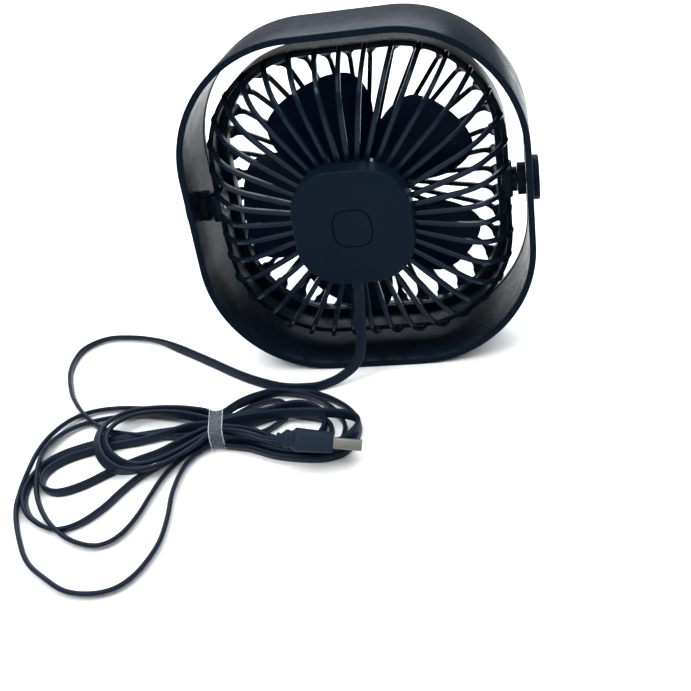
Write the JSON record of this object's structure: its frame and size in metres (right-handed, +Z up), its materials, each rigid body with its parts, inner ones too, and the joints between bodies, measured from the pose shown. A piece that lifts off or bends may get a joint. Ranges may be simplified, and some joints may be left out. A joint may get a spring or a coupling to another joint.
{
  "type": "desk fan",
  "caption": "Small rounded-square desk fan that tilts inside a hoop stand, with ribbed grilles, one push button on the back and a flat lead tied in loops beside it.",
  "frame": {"origin": "middle of the hoop stand's flat underside, on the surface it stands on", "axes": "+Z up, -Y the way the air blows, +Y towards the motor cover and its button, +X along the tilt axis"},
  "size_m": [0.2345, 0.1944, 0.1518],
  "materials": {
    "navy_plastic": "satin moulded plastic, very dark blue",
    "blade_plastic": "smooth moulded plastic, near-black blue",
    "rubber": "matt",
    "steel": "zinc plated",
    "plug_steel": "tin-plated sheet",
    "bronze": "sintered",
    "copper": "enamelled winding",
    "magnet": "ferrite, matt",
    "board": "solder mask",
    "black_plastic": "moulded",
    "white_plastic": "moulded",
    "cord_jacket": "satin PVC jacket, dark blue",
    "clear_film": "clear soft film"
  },
  "bodies": {
    "stand": {"stand_band": "navy_plastic", "pivot_washer_left": "rubber", "pivot_washer_right": "rubber", "pivot_cap_left": "navy_plastic", "pivot_cap_right": "navy_plastic", "usb_cord": "cord_jacket", "cord_hank_run": "cord_jacket", "cord_loops": "cord_jacket", "cord_hank_left": "cord_jacket", "cord_hank_right": "cord_jacket", "cord_tie": "clear_film", "usb_plug_grip": "navy_plastic", "usb_plug_shell": "plug_steel", "usb_plug_tongue": "white_plastic"},
    "head": {"rear_grille": "navy_plastic", "front_grille": "navy_plastic", "front_badge": "navy_plastic", "motor_can": "steel", "motor_end_cap": "black_plastic", "motor_magnet": "magnet", "front_bearing": "bronze", "rear_bearing": "bronze", "motor_cover": "navy_plastic", "circuit_board": "board", "board_screw_left": "steel", "board_screw_right": "steel", "switch_body": "black_plastic", "strain_relief": "navy_plastic", "pivot_bolt_left": "steel", "pivot_bolt_right": "steel"},
    "rotor": {"impeller": "blade_plastic", "motor_shaft": "steel", "motor_armature": "copper"},
    "button": {"power_button": "navy_plastic", "switch_plunger": "white_plastic"}
  },
  "joints": [
    {"name": "head_tilt", "type": "hinge", "parent": "stand", "child": "head", "pos_m": [0, 0.004, 0.0794], "axis": [1, 0, 0], "range_deg": [-90, 30], "deforming": ["usb_cord"]},
    {"name": "blade_spin", "type": "hinge", "parent": "head", "child": "rotor", "pos_m": [0, 0, 0.0759], "axis": [0, 1, 0], "continuous": true},
    {"name": "button_press", "type": "slide", "parent": "head", "child": "button", "axis": [0, -1, 0], "range_m": [0, 0.0006], "stiffness_N_per_m": 800, "springref_m": -0.0006}
  ]
}
